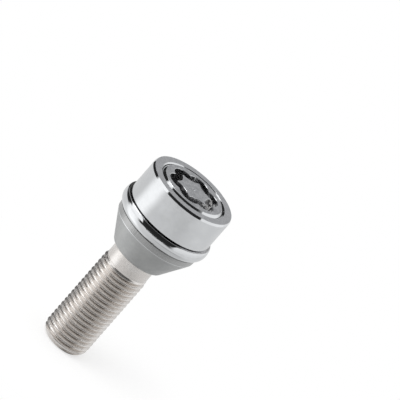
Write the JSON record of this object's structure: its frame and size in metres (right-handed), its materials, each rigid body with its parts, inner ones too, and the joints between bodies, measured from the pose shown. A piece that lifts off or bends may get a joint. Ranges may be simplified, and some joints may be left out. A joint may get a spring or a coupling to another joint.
{
  "type": "locking wheel bolt",
  "caption": "Threaded wheel bolt with a cone seat, a flange, a wavy key groove in its face and a chromed collar that spins freely round the head.",
  "frame": {"origin": "centre of the flat end face of the threaded shank, on which the bolt stands", "axes": "+Z along the bolt's axis from the threaded end to the head's face; -Y is the side seen in the picture"},
  "size_m": [0.0286, 0.0286, 0.0587],
  "materials": {
    "plated_steel": "satin plated steel, polished on the flange and the head's face",
    "spring_steel": "drawn wire",
    "chrome_collar": "polished chrome"
  },
  "bodies": {
    "bolt_body": {"bolt": "plated_steel", "retaining_ring": "spring_steel"},
    "collar_body": {"collar": "chrome_collar"}
  },
  "joints": [
    {"name": "collar_spin", "type": "hinge", "parent": "bolt_body", "child": "collar_body", "pos_m": [0, 0, 0.053], "axis": [0, 0, 1], "continuous": true}
  ]
}
